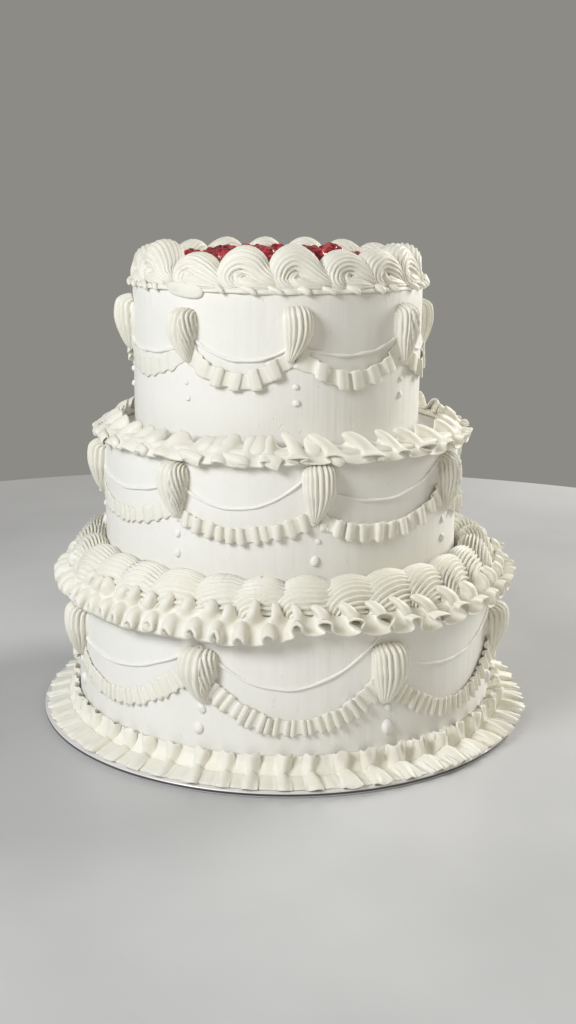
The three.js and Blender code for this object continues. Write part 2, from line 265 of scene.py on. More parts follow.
class Look:
    """A node material over the object's own coordinates."""

    def __init__(self, name):
        self.material = bpy.data.materials.new(name)
        self.material.use_nodes = True
        self.nodes = self.material.node_tree.nodes
        self.links = self.material.node_tree.links
        self.shader = self.nodes["Principled BSDF"]
        self.place = self.nodes.new("ShaderNodeTexCoord").outputs["Object"]

    def node(self, kind, values, **sources):
        """A node with those input values. The sources go into its inputs of those names."""
        node = self.nodes.new("ShaderNode" + kind)
        for name, value in values.items():
            node.inputs[name].default_value = value
        for name, source in sources.items():
            self.links.new(source, node.inputs[name])
        return node

    def noise(self, scale, detail, stretch=(1, 1, 1)):
        mapping = self.node("Mapping", {"Scale": stretch}, Vector=self.place)
        values = {"Scale": scale, "Detail": detail}
        return self.node("TexNoise", values, Vector=mapping.outputs["Vector"]).outputs["Fac"]

    def ramp(self, source, *stops):
        """A ramp of (position, colour or value) stops."""
        ramp = self.node("ValToRGB", {}, Fac=source)
        elements = ramp.color_ramp.elements
        while len(elements) < len(stops):
            elements.new(0.5)
        for element, (position, colour) in zip(elements, stops):
            element.position = position
            element.color = (*colour, 1) if isinstance(colour, tuple) else (colour,) * 3 + (1,)
        return ramp.outputs["Color"]

    def bump(self, height, distance, strength, **before):
        """A bump over another one, which may be given as Normal."""
        values = {"Distance": distance, "Strength": strength}
        return self.node("Bump", values, Height=height, **before).outputs["Normal"]

    def finish(self, colour, roughness, normal, values):
        """Links the three to the shader, sets its other inputs and returns the material."""
        for name, source in (("Base Color", colour), ("Roughness", roughness), ("Normal", normal)):
            self.links.new(source, self.shader.inputs[name])
        for name, value in values.items():
            self.shader.inputs[name].default_value = value
        return self.material


def icing(name, pale, deep, streaks):
    """Buttercream: faint mottling, a soft sheen, and either scraper streaks or fine crumbs."""
    look = Look(name)
    colour = look.ramp(look.noise(28, 4), (0.3, deep), (0.7, pale))
    sheen = look.ramp(look.noise(90, 3), (0.3, 0.44), (0.7, 0.6))
    if streaks:
        scraped = look.noise(150, 3, stretch=(1, 1, 0.035))
        normal = look.bump(scraped, distance=0.001, strength=0.5)
        pits = look.ramp(look.noise(330, 1, stretch=(1, 1, 0.7)), (0.2, 0.0), (0.27, 1.0))
        normal = look.bump(pits, distance=0.0005, strength=0.5, Normal=normal)
    else:
        normal = look.bump(look.noise(420, 3), distance=0.0006, strength=0.3)
    return look.finish(colour, sheen, normal, {
        "Subsurface Weight": 0.06 if streaks else 0.11, "Subsurface Scale": 0.002,
        "Subsurface Radius": (1.0, 0.88, 0.5), "Specular IOR Level": 0.4})


def berry_glaze():
    """Wet red fruit: patches of about a drupelet's size, from the fruit's own dark crimson to pale pink
    ones that are painted highlights, under a thin gloss.
    """
    look = Look("red_berries")
    # Painted highlight: the palest pink stop of this ramp stands for glints on the wet fruit; the
    # darker stops are the fruit's own crimson.
    colour = look.ramp(look.noise(230, 4), (0.36, (0.08, 0.001, 0.005)), (0.52, (0.34, 0.01, 0.02)),
                       (0.7, (0.7, 0.11, 0.13)))
    wet = look.ramp(look.noise(240, 2), (0.35, 0.05), (0.7, 0.24))
    fine = look.bump(look.noise(700, 3), distance=0.0008, strength=0.35)
    return look.finish(colour, wet, fine, {
        "Subsurface Weight": 0.1, "Subsurface Scale": 0.003, "Subsurface Radius": (1.0, 0.25, 0.2),
        "Coat Weight": 0.5, "Coat Roughness": 0.08})


def foil():
    """Silver foil on card. Bands over the board's height paint a shadow line across the middle of its
    rounded edge, for the shade in the gap beneath the board, and make the edge a little darker below
    that line.
    """
    look = Look("foil_board")
    silver = look.ramp(look.noise(24, 3), (0.3, (0.78, 0.76, 0.765)), (0.7, (0.87, 0.85, 0.855)))
    height = look.node("SeparateXYZ", {}, Vector=look.place).outputs["Z"]
    share = look.node("Math", {1: 1 / (BOARD_TOP * MM)})
    share.operation = "MULTIPLY"
    look.links.new(height, share.inputs[0])
    # Painted shadow: a dark line across the middle of the board's edge, where the gap under the board
    # lies in shade.
    painted_shadow_bands = look.ramp(share.outputs["Value"], (0.3, 0.75), (0.42, 0.08), (0.68, 0.08), (0.8, 1.0))
    mix = look.node("Mix", {"Factor": 1})
    mix.data_type = "RGBA"
    mix.blend_type = "MULTIPLY"
    look.links.new(silver, mix.inputs["A"])
    look.links.new(painted_shadow_bands, mix.inputs["B"])
    smear = look.ramp(look.noise(60, 3), (0.3, 0.3), (0.7, 0.42))
    crinkle = look.bump(look.noise(110, 3), distance=0.0006, strength=0.25)
    return look.finish(mix.outputs["Result"], smear, crinkle, {"Metallic": 0.2})


SMOOTH = icing("smooth_icing", pale=(0.905, 0.9, 0.868), deep=(0.88, 0.872, 0.83), streaks=True)
PIPED = icing("piped_icing", pale=(0.885, 0.872, 0.802), deep=(0.85, 0.834, 0.743), streaks=False)
BERRIES = berry_glaze()
FOIL = foil()


def piped(name, body, node):
    make_piece(name, body, PIPED, node)


# ---------- tiers, strings and dots

# Where the shells of each tier sit, in degrees. A swag hangs from each one to the next.
BOTTOM_SHELLS = [-69, -20.7, 25.8, 73, 117, 160, 204, 247]
MIDDLE_SHELLS = [-80, -32.0, 11.0, 60.8, 105, 150, 195, 238]
TOP_SHELLS = [-81, -34.7, 7.4, 54.8, 100, 145, 189, 234]


def wall(body, tier, rng):
    """The tier's own icing: a scraped wall that isn't quite true, a rounded rim and a flat top."""
    columns, rows, rim, wavelength = 256, 14, 2.2, 17.0
    angle = all_round(columns)
    upright = np.linspace(tier.base, tier.top - rim, rows)
    bend = np.linspace(0, math.pi / 2, 5)[1:]
    heights = np.concatenate([upright, tier.top - rim + rim * np.sin(bend)])[:, None]
    inset = np.concatenate([0 * upright, rim * (1 - np.cos(bend))])[:, None]
    uneven = waves(angle, rng, (2, 3, 5, 9, 14), 0.22)
    drift = waves(angle, rng, (4, 7, 11, 23), 0.2) * np.sin(heights / wavelength + angle)
    radius = tier.radius - inset + (uneven + drift) * np.cos(np.minimum(inset, 1.5))
    body.tube(polar(tier.x, angle[None, :], radius, heights))


def swags_of(shells, levels):
    """Each swag's number, its ends in degrees and its level. The last level serves for the rest."""
    for k, start in enumerate(shells):
        end = shells[k + 1] if k + 1 < len(shells) else shells[0] + 360
        yield k, start, end, levels[min(k, len(levels) - 1)]


def swag(share, end, low, side):
    """Heights along a swag: end at its ends and low in its middle. side raises its right end and
    lowers its left one by half that share of its sag."""
    return low + (end - low) * (2 * share - 1) ** 2 + side * (share - 0.5) * (end - low)


def string(body, tier, start, end, level, rng):
    """A thin piped string along a swag, half sunk into the wall, with a small kink."""
    rows, sides, thick, proud = 56, 8, 1.1, 0.45
    share = np.linspace(0, 1, rows)
    angle = np.radians(start + (end - start) * share)
    kink = rng.uniform(0.3, 0.8)
    height = tier.base + swag(share, *level)
    height += rng.uniform(-0.8, 0.8) * (ease((share - kink) / 0.08) - share)
    height += waves(share * 9, rng, (1, 2, 3), 0.25)
    path = polar(tier.x, angle, tier.radius + proud, height)
    along = unit(np.gradient(path, axis=0))
    out = polar(0, angle, 1.0, 0.0)
    up = np.cross(along, out)
    turn = all_round(sides)[None, :, None]
    size = thick * (1 + waves(share * 11, rng, (2, 3, 5), 0.12))[:, None, None]
    body.tube(path[:, None] + size * (np.cos(turn) * out[:, None] + np.sin(turn) * up[:, None]))


def dot(body, tier, angle, height, size, tall, curl, rng):
    """A small piped dot: a soft low dome whose tip leans to one side. The knots are (half width,
    distance from the wall, shift of the tip), as shares of its size."""
    form = curve([(1.0, -0.3, 0), (1.06, 0.05, 0), (1.0, 0.32, 0.1), (0.74, 0.56, 0.35),
                  (0.42, 0.72, 0.8), (0.12, 0.8, 1.0)], 14)
    wide, out, shift = size * form.T[..., None]
    theta = all_round(16)[None, :]
    lean = rng.uniform(0, TURN)
    wide = wide * (1 + 0.07 * np.cos(2 * theta + lean))
    s = wide * np.cos(theta) + curl * shift * math.cos(lean)
    h = tall * (wide * np.sin(theta) + curl * shift * math.sin(lean))
    body.tube(polar(tier.x, math.radians(angle) + s / tier.radius, tier.radius + out,
                    tier.base + height + h))


def tier_piece(name, tier, shells, levels, dots, node, seed):
    """The tier's wall with its strings and dots. levels are (end, low, side) of the strings, and
    dots are (height, size, share of the height to the width)."""
    rng = default_rng(seed)
    body = Body()
    wall(body, tier, rng)
    for _, start, end, level in swags_of(shells, levels):
        string(body, tier, start, end, level, rng)
        for height, size, tall in dots:
            dot(body, tier, start + rng.uniform(-0.6, 0.6), height, size * rng.uniform(0.85, 1.15),
                tall, rng.uniform(0.2, 0.5), rng)
    make_piece(name, body, SMOOTH, node)


tier_piece("bottom_tier_icing", BOTTOM, BOTTOM_SHELLS,
           levels=[(74.5, 58.5, 1.2), (91, 59, 0.4), (83, 63.5, 0.6), (86, 59, 0.4)],
           dots=[(41.5, 2.8, 1.1), (27.5, 3.6, 1.2)], node="tier_bottom", seed=11)
tier_piece("middle_tier_icing", MIDDLE, MIDDLE_SHELLS,
           levels=[(80, 71, 0.3), (90, 68.5, 0.6), (90, 72.5, 0.8), (86, 68, 0.5)],
           dots=[(47.5, 2.2, 1.05), (34.5, 2.7, 1.15)], node="tier_middle", seed=12)
tier_piece("top_tier_icing", TOP, TOP_SHELLS,
           levels=[(66, 59, 0.1), (72.5, 57.8, -0.4), (71.5, 60.8, 0.5), (70, 59.5, 0.1)],
           dots=[(41.6, 2.1, 1.0), (31.2, 2.3, 1.0)], node="tier_top", seed=13)


# ---------- drop shells


def style(ridges, lean, split=None, crumble=0.0):
    """A shell's own look: how many ridges it has, how far its tip leans to the right, the place on
    its head in degrees where its ridges part, and how rough they are."""
    return ridges, lean, split, crumble


def drop_shell(tier, angle, top, tip, width, depth, look, rng):
    """A piped shell on a wall. Its ridges start on the head's outline and meet at the tip."""
    ridges, lean, split, crumble = look
    rows, sunk = 34, 1.4
    right, left = math.radians(-14), math.radians(194)
    theta = section_angles(right, left, front=6 * ridges + 1, back=9)
    # Share of the half width, place from head to tip, turn of the section in degrees, distance
    # from the wall, and share of the depth
    form = curve([(0.92, 0.0, 9, 0, 0.50), (0.98, 0.015, 39, 0.1, 0.66), (1.02, 0.044, 59, 0.2, 0.88),
                  (1.03, 0.088, 68.5, 0.3, 1.02), (1.05, 0.18, 77, 0.6, 1.05), (1.02, 0.36, 86, 1, 1.0),
                  (0.86, 0.56, 91, 1, 0.82), (0.56, 0.78, 95, 1, 0.55), (0.33, 0.94, 97, 0.8, 0.3),
                  (0.14, 1.0, 97, 0.6, 0.12)], rows)
    across, t, turn, out, bulge = form.T[..., None]
    head = 0.84 * (top - tip)
    turn = np.radians(turn)
    phase = ridges * (theta - right) / (left - right) + 0.12 * np.sin(5 * t + rng.uniform(0, TURN))
    if split is not None:
        # The ridges to the right of this place drift sideways on their way to the tip.
        part, shear = math.radians(split), 4.5
        phase = phase + shear * t * ease((part - theta) / math.radians(7) + 0.5)
    flute = ridge(phase, 0.32 * (1 - 0.3 * t), 0.5)
    flute = flute * (1 + 0.03 * np.sin(3 * theta + 4 * t + rng.uniform(0, TURN)))
    if crumble:
        rough = rng.normal(size=(rows, theta.shape[1]))
        rough = (rough + np.roll(rough, 1, 0) + np.roll(rough, 1, 1)) / 3
        flute = flute * (1 + crumble * rough)
    s = lean * t**2 - 0.35 * lean * np.sin(math.pi * t)
    s = s + width / 2 * across * signed_power(np.cos(theta), 0.85) * flute
    q = depth * bulge * signed_power(np.sin(theta), 0.8) * flute
    h = tip + head * (1 - t) + q * np.cos(turn)
    d = np.maximum(out + q * np.sin(turn), -sunk)
    return polar(tier.x, math.radians(angle) + s / tier.radius, tier.radius + d, tier.base + h)


def shells_on(tier, node, angles, tops, tips, width, depth, styles, seed):
    """A tier's shells. tops and tips are heights over the tier's base."""
    for k, angle in enumerate(angles):
        rng = default_rng(seed + k)
        body = Body()
        body.tube(drop_shell(tier, angle, tops[k], tips[k], width * rng.uniform(0.96, 1.05),
                             depth, styles[k], rng))
        piped(f"piped_{node}_{k + 1}", body, f"{node}_{k + 1}")


shells_on(BOTTOM, "drop_shell_bottom", BOTTOM_SHELLS,
          tops=[86, 84, 87, 86, 85.5, 86.5, 85, 86], tips=[44.5, 46, 45, 44, 45, 44, 45.5, 44],
          width=25, depth=12.5, seed=21,
          styles=[style(12, -3), style(12, 3, 70), style(13, -2), style(11, 2, crumble=0.03),
                  style(12, -2), style(11, 2, 70), style(12, 2), style(13, -2)])
shells_on(MIDDLE, "drop_shell_middle", MIDDLE_SHELLS,
          tops=[95, 97, 99, 96.5, 95.5, 96.5, 95, 96], tips=[55.5, 58.5, 60, 53.5, 56, 57, 55.5, 57],
          width=21, depth=11.5, seed=31,
          styles=[style(11, -3), style(12, 2, 75), style(13, -2), style(12, 2, 110, 0.03),
                  style(12, -2), style(11, 2, 70), style(12, 2), style(13, -2)])
shells_on(TOP, "drop_shell_top", TOP_SHELLS,
          tops=[94, 90, 93.5, 93.5, 90, 91.5, 90, 92], tips=[55, 55, 57.5, 51.5, 52.5, 54, 52, 54],
          width=17.5, depth=12, seed=41,
          styles=[style(10, -2), style(11, 2.5, 78), style(11, -4), style(10, 3, 120, 0.03),
                  style(10, -2), style(11, 2, 70), style(11, 2), style(10, -2)])


# ---------- ruffle swags


def swag_ruffle(body, tier, start, end, level, band, pleats, proud, slant, narrow, bold, rng):
    """A pleated band along a swag. level is (end, low, side) of its middle line, proud is how far
    its crests stand out, slant is how much the pleats turn with the swag, narrow makes the crests
    narrower, and bold is the share of the folds that it has."""
    per, across = 9, 9
    rows = pleats * per
    share = np.linspace(0, 1, rows)[:, None]
    v = np.linspace(-1, 1, across)[None, :]
    folds = Folds(pleats, 0.22, rng)
    phase = folds.phase(share)
    size = folds.each(share, 0.55, 1.2)
    pleat = (end - start) * math.pi / 180 * tier.radius / pleats
    angle = np.radians(start + (end - start) * share)
    middle = swag(share, *level) + waves(share * 7, rng, (1, 2), 0.4)
    slope = np.gradient(middle[:, 0]) / np.gradient(angle[:, 0] * tier.radius)
    out = (0.5 + 0.5 * np.cos(phase + 0.5 * np.cos(phase))) ** narrow
    d = 0.35 + bold * (0.35 + proud * size * out * (0.92 - 0.08 * v))
    s = bold * pleat * (0.12 * np.sin(2 * phase) * size + 0.1 * folds.each(share, -1, 1) * v)
    s = s - slant * slope[:, None] * v * band / 2
    ragged = folds.each(share, -0.9, 0.9) + 0.7 * np.cos(phase)
    h = middle + v * band / 2 + ragged * v * np.abs(v)
    fade = ease(share * pleats / 1.2) * ease((1 - share) * pleats / 1.2)
    d = d * (0.35 + 0.65 * fade)
    sheet = polar(tier.x, angle + s / tier.radius, tier.radius + d, tier.base + h)
    body.ribbon(sheet, (1.3 - 0.4 * np.abs(v)) * (0.55 + 0.45 * bold), False)


def swags_on(name, tier, shells, levels, band, pleats, proud, slant, narrow, faint, node, seed):
    """A tier's ruffle swags. faint is the share of the folds that the first one has."""
    rng = default_rng(seed)
    body = Body()
    gap = 1.2
    for k, start, end, level in swags_of(shells, levels):
        swag_ruffle(body, tier, start + gap, end - gap, level, band,
                    pleats + int(rng.integers(-1, 2)), proud, slant, narrow, 1 if k else faint, rng)
    piped(name, body, node)


swags_on("piped_swags_bottom", BOTTOM, BOTTOM_SHELLS,
         levels=[(59.5, 36.5, 0.95), (61, 33, 0.0), (57.5, 31.5, 0.2), (58, 31.5, 0.1)],
         band=10.0, pleats=21, proud=4.0, slant=1.0, narrow=1.2, faint=0.7,
         node="ruffle_swags_bottom", seed=51)
swags_on("piped_swags_middle", MIDDLE, MIDDLE_SHELLS,
         levels=[(63, 52.5, 0.3), (62.7, 51.3, 0.2), (67, 51.5, 0.8), (64, 50.5, 0.3)],
         band=9.8, pleats=12, proud=4.2, slant=0.7, narrow=0.9, faint=0.25,
         node="ruffle_swags_middle", seed=52)
swags_on("piped_swags_top", TOP, TOP_SHELLS,
         levels=[(62, 47.5, 0.0), (61.5, 45, 0.0), (63, 45, 0.2)],
         band=10.2, pleats=7, proud=3.6, slant=0.6, narrow=0.6, faint=0.15,
         node="ruffle_swags_top", seed=53)


# ---------- double ruffles


def side_of(angle, centre=0.0, width=0.15):
    """-1 on the left of the cake and 1 on its right, with a soft change between them. A larger
    centre moves the change to the right."""
    return np.tanh((np.sin(angle) - centre) / width)


def petal(body, tier, angle, knots, face, rows, columns, creases=0, crease=0.0, hollow=0.0):
    """A rounded finger of icing. knots are (across, distance past the tier's wall, height over its
    top, half width, half thickness, roll in degrees) along it, and face is its front's (radial,
    upward) direction. creases is their number and crease their depth as a share of the thickness.
    A hollow one is open at its end: hollow is the share of its width that is open."""
    knots = tier.past_wall(knots, tier.top, column=1)
    t = 0.5 - 0.5 * np.cos(np.linspace(0, math.pi, rows))
    cap = np.sqrt(np.maximum(1 - np.abs(2 * t - 1) ** 5, 0.004))
    if hollow:
        t = 1 - (1 - np.linspace(0, 1, rows)) ** 1.5
        cap = np.sqrt(np.maximum(1 - (1 - t) ** 5, 0.004)) * np.where(t > 0.99, 0.9, 1)
        t = np.concatenate([t, 1 - 0.5 * np.array([-0.02, 0.04, 0.3, 0.7, 1.0])])
        t = np.clip(t, 0, 1)
        cap = np.concatenate([cap, hollow * np.array([1.25, 1.0, 0.9, 0.7, 0.2])])
    line = curve(knots, t)
    path, wide, thick, roll = line[:, :3], line[:, 3] * cap, line[:, 4] * cap, np.radians(line[:, 5])
    fine = 40
    along = np.gradient(curve(knots, fine)[:, :3], axis=0)
    along = unit(along[np.clip((t * (fine - 1)).astype(int), 0, fine - 1)])
    side = unit(np.cross(along, np.array([0, *face])))
    up = np.cross(side, along)
    c, d = np.cos(roll)[:, None], np.sin(roll)[:, None]
    side, up = side * c + up * d, up * c - side * d
    theta = all_round(columns)[None, :]
    x = wide[:, None] * signed_power(np.cos(theta), 0.85)
    y = thick[:, None] * np.sin(theta) * (1 + crease * np.cos(creases * theta))
    local = path[:, None] + side[:, None] * x[..., None] + up[:, None] * y[..., None]
    body.tube(polar(tier.x, angle + local[..., 0] / local[..., 1], local[..., 1], local[..., 2]))


def fold_line(bend, per, pinch):
    """A line in folds that can hang over on both sides. bend (folds, columns) is how far it turns
    from its course, in radians. Returns each point's place along its fold and its height, both
    from 0 to 1; each fold's crest is in its middle and is narrower for a larger pinch."""
    u = np.arange(per + 1) / per
    turn = TURN * u + 0.4 * np.sin(TURN * u)
    course = bend[:, None, :] * np.sin(turn - pinch * np.sin(turn))[None, :, None]
    steps = np.diff(turn)[None, :, None]
    lines = []
    for part in (np.cos(course), np.sin(course)):
        line = np.cumsum(0.5 * (part[:, 1:] + part[:, :-1]) * steps, 1)
        lines.append(np.concatenate([np.zeros_like(line[:, :1]), line], 1))
    along = lines[0] / lines[0][:, -1:]
    height = lines[1] / lines[1].max(1, keepdims=True)
    shape = (-1, bend.shape[1])
    return along[:, :-1].reshape(shape), height[:, :-1].reshape(shape)


def folded_ruffle(body, tier, left, right, sizes, per, across, pinch, thickness, rng, uneven,
                  lean=(0.1, 0.1), rise=0.0, notch=0.0, raised=(0, 1, 0)):
    """A ribbon folded all round a tier's rim. left and right are its profiles on either half of the
    cake, from its lower edge to its upper edge: knots of (distance past the wall, height over the
    top, fold depth, bend in degrees, shift). sizes are the folds' shares of the turn, each of per
    columns. thickness has knots of (left, right). lean is how far the crests lean to the left, on
    either half, rise how far they stand up at the upper edge, and notch the height of the arch in
    the left half's crests at the lower edge. raised is the place and half width (degrees) and the
    height of a part that lies higher than the rest."""
    count = len(sizes)
    ends = np.cumsum(sizes) / np.sum(sizes)
    starts = np.concatenate([[0], ends[:-1]])
    fold = np.repeat(np.arange(count), per)
    size = (ends - starts)[fold][:, None]
    share = starts[fold] + size[:, 0] * np.tile(np.arange(per) / per, count)
    mix = (0.5 + 0.5 * side_of(TURN * share))[:, None, None]
    left, right = (curve(tier.past_wall(side, tier.top), across)[None] for side in (left, right))
    line = left * (1 - mix) + right * mix
    radius, height, deep, bend, shift = (line[..., k] for k in range(5))
    off = (np.degrees(TURN * share)[:, None] - raised[0]) / raised[1]
    height = height + raised[2] * np.exp(-off**2) * np.linspace(1, 0.3, across)[None, :]
    course = unit(np.gradient(line[..., :2], axis=1))
    lower = np.linspace(1, 0, across)[None, :] ** 1.5

    def each(low, high):
        """A value of each fold's own at either edge, with a soft change from fold to fold."""
        place = np.tile(np.arange(per) / per, count)[:, None]
        near = ease(2 * np.abs(place - 0.5)) * 0.5
        values = []
        for _ in range(2):
            value = rng.uniform(low, high, count)
            before, after = np.roll(value, 1)[fold][:, None], np.roll(value, -1)[fold][:, None]
            other = np.where(place < 0.5, before, after)
            values.append(value[fold][:, None] * (1 - near) + other * near)
        return values[0] * lower + values[1] * (1 - lower)

    middle = np.arange(count) * per + per // 2
    own_bend = np.radians(bend[middle]) * rng.uniform(1 - 0.5 * uneven, 1 + 0.25 * uneven, (count, 1))
    along, crest = fold_line(own_bend, per, pinch)
    n = deep * each(1 - uneven, 1 + uneven) * (crest - 0.5)
    tilt = each(-0.4, 0.4) + lean[0] * (1 - mix[..., 0]) + lean[1] * mix[..., 0]
    angle = TURN * (starts[fold][:, None] + size * (along + shift)) - tilt * n / radius
    drift = deep * each(-0.6, 0.6) * uneven
    m = deep * each(-0.5, 0.5) * uneven - rise * (crest - 0.5) * (1 - lower) ** 2
    m = m - notch * (1 - mix[..., 0]) * crest ** 8 * lower ** 2 * each(0.4, 1.2)
    sheet = polar(tier.x, angle, radius + course[..., 1] * (n + drift) - course[..., 0] * m,
                  height - course[..., 0] * (n + drift) - course[..., 1] * m)
    thick = curve(thickness, across)
    thick = thick[None, :, 0] * (1 - mix[..., 0]) + thick[None, :, 1] * mix[..., 0]
    body.ribbon(sheet, thick, True)


def fold_sizes(count, wider, uneven, rng):
    """Uneven shares of the turn for the folds, wider on the right half of the cake."""
    angle = TURN * (np.arange(count) + 0.5) / count
    return (1 + wider * side_of(angle)) * rng.uniform(1 - uneven, 1 + uneven, count)


def bow_ruffle(body, tier, profile, count, per, across, uneven, thickness, rng):
    """A ruffle of bows: pleats pinched at a seam and fanning out to both edges, with panels between
    them on the left and deep valleys on the right. profile is knots of (distance past the wall,
    height over the board, fold depth, reach) from the upper edge. seam is the seam's radius."""
    rows, seam = count * per, 160
    share = (np.arange(rows) / rows)[:, None]
    angle = share * TURN
    v = signed_power(np.linspace(1, -1, across), 1.5)
    line = curve(tier.past_wall(profile, BOARD_TOP), 0.5 - 0.5 * v)
    radius, height, deep, reach = line.T[:, None]
    down_r, down_z = unit(np.gradient(line[:, :2], axis=0)).T[:, None]
    v = v[None, :]
    folds = Folds(count, uneven, rng)
    phase = folds.phase(share)
    fan = np.abs(v) ** 0.8
    wide = 0.5 + 0.5 * side_of(angle, 0.33, 0.12)
    crest = (0.5 + 0.5 * np.cos(phase)) ** ((8 - 6.0 * fan) * (1 - wide) + (1.0 - 0.6 * fan) * wide)
    upper, lower = folds.each(share, 0.6, 1.25), folds.each(share, 0.6, 1.25)
    big = np.where(v > 0, upper, lower) * (1.35 + 0.3 * side_of(angle, 0.25, 0.25))
    twist = np.where(v > 0, folds.each(share, -1.2, 1.8), folds.each(share, -0.6, 1.6))
    crease = np.cos(4 * phase + 4 * folds.each(share, -1, 1)) * fan * (0.35 + 0.65 * crest)
    n = deep * big * (1.6 * crest - 0.4 + wide * (0.6 * crest - 0.7))
    n = n + (0.9 + 0.5 * wide) * crease * big
    n = n - 1.5 * np.exp(-(v / 0.07) ** 2) * (1 - 0.5 * crest)
    m = reach * (crest - 0.35) * big + 0.8 * crease * np.abs(v) ** 3
    s = twist * fan + 0.1 * TURN * seam / count * np.sin(2 * phase) * fan * big
    sheet = polar(tier.x, angle + s / radius, radius - down_z * n + down_r * m,
                  height + down_r * n + down_z * m)
    body.ribbon(sheet, thickness * (1 - 0.35 * v**2), True)


def core(body, tier, out, up, wide, tall):
    """A plain ring of icing that the petals sit on."""
    angle = all_round(128)[:, None]
    turn = all_round(10)[None, :]
    body.ring(polar(tier.x, angle, tier.radius + out + wide * np.cos(turn),
                    tier.top + up + tall * np.sin(turn)))


def bottom_tier_ruffle():
    rng = default_rng(61)
    body = Body()
    left = [(14.0, -7.6, 8.4, 108, 0), (11.8, -4.4, 7.6, 100, 0), (9.2, -0.8, 6.2, 82, 0),
            (5.6, 1.2, 3.2, 50, 0.05), (3.4, 3.6, 5.6, 74, 0.3), (2.2, 7.2, 8.2, 92, 0.45),
            (-0.4, 9.0, 9.6, 98, 0.5)]
    right = [(13.6, -1.6, 12.5, 114, 0), (10.8, -1.0, 11.5, 108, 0), (7.6, -0.8, 8.5, 92, 0),
             (4.8, 0.6, 4.4, 60, 0), (4.0, 3.6, 6.6, 80, -0.05), (2.6, 7.0, 9.6, 94, -0.15),
             (-0.2, 8.8, 11.0, 98, -0.3)]
    folded_ruffle(body, BOTTOM, left, right, fold_sizes(60, 0.14, 0.2, rng), per=28, across=15,
                  pinch=0.35, thickness=[(3.0, 1.1), (2.8, 1.4), (2.4, 1.8), (1.6, 1.3)], rng=rng,
                  uneven=0.3, lean=(0.15, 0.7), rise=3.0, notch=5.0, raised=(12, 13, 4.5))
    core(body, BOTTOM, out=1.2, up=-1.5, wide=3.6, tall=3.6)
    piped("piped_bottom_tier_ruffle", body, "bottom_tier_ruffle")


def puffs(body, tier, rng):
    """Flat rounded lobes that stand on the tier's rim, on its left part only."""
    count = 44
    for k in range(count):
        angle = TURN * (k + rng.uniform(-0.25, 0.25)) / count
        if side_of(angle, 0.25) > 0 or rng.uniform() < 0.45:
            continue
        wide, thick = rng.uniform(0.6, 0.95) * 9.2, 3.8
        lean, tall, roll = rng.uniform(-2, 2), rng.uniform(-3.0, 0.8), rng.uniform(-12, 12)
        petal(body, tier, angle,
              [(0.8, 0.5, 1.6, wide * 0.85, thick * 0.6, roll * 0.3), (0, -3.5, 4.2, wide, thick, roll),
               (lean * 0.5, -9.5, 7.8 + tall * 0.6, wide, thick, roll),
               (lean, -16, 10.4 + tall, wide * 0.9, thick * 0.8, roll)],
              face=(0.6, 0.8), rows=12, columns=18, creases=3, crease=0.18)


def fingers(body, tier, rng):
    """Slanting tongues that hang over the tier's rim, on its left part. Every third is open."""
    count = 26
    for k in range(count):
        angle = TURN * (k + rng.uniform(-0.3, 0.3)) / count
        if side_of(angle, 0.35) > 0:
            continue
        length = rng.uniform(5, 10)
        size = rng.uniform(0.75, 1.1)
        petal(body, tier, angle,
              [(-length, 1.0, 2.5, 2.4 * size, 1.8, 0), (-0.3 * length, 4.2, 0.6, 3.6 * size, 2.4, 0),
               (0.4 * length, 5.6, -1.0, 4.2 * size, 2.6, 0), (length, 6.0, -2.6, 3.9 * size, 2.2, 0)],
              face=(1.0, 0.25), rows=12, columns=18, creases=4, crease=0.14,
              hollow=0.66 if k % 3 == 0 else 0)


def middle_tier_ruffle():
    rng = default_rng(62)
    body = Body()
    left = [(6.6, -2.4, 3.8, 90, 0), (4.6, -0.4, 3.0, 74, 0), (1.6, 1.4, 1.6, 45, 0),
            (-1.5, 3.4, 2.6, 60, 0.05), (-6.0, 6.4, 5.0, 86, 0.2), (-10.5, 8.4, 6.0, 96, 0.35)]
    right = [(7.6, -0.5, 8.0, 114, 0), (5.0, 0.4, 6.2, 100, 0), (2.2, 1.6, 3.2, 65, 0),
             (-1.6, 4.2, 4.8, 65, -0.05), (-6.0, 7.8, 7.2, 88, -0.2), (-9.6, 10.4, 8.0, 94, -0.4)]
    folded_ruffle(body, MIDDLE, left, right, fold_sizes(40, 0.1, 0.32, rng), per=30, across=14,
                  pinch=0.25, thickness=[(1.8, 1.1), (2.0, 1.6), (2.2, 1.9), (1.6, 1.2)], rng=rng,
                  uneven=0.36, lean=(0.5, 0.9), rise=4.0)
    core(body, MIDDLE, out=-4.5, up=2.5, wide=5.5, tall=3.0)
    puffs(body, MIDDLE, rng)
    fingers(body, MIDDLE, rng)
    piped("piped_middle_tier_ruffle", body, "middle_tier_ruffle")


def base_ruffle():
    body = Body()
    profile = [(2.6, 14.8, 2.9, -2.2), (3.3, 11.0, 3.2, -0.6), (5.2, 7.2, 2.6, 0),
               (7.8, 4.2, 1.8, 0), (12.0, 3.2, 1.9, 0), (18.0, 2.1, 1.7, 0.6), (23.4, 0.9, 0.9, 2.4)]
    bow_ruffle(body, BOTTOM, profile, count=52, per=22, across=15, uneven=0.12, thickness=1.5,
               rng=default_rng(63))
    piped("piped_base_ruffle", body, "base_ruffle")


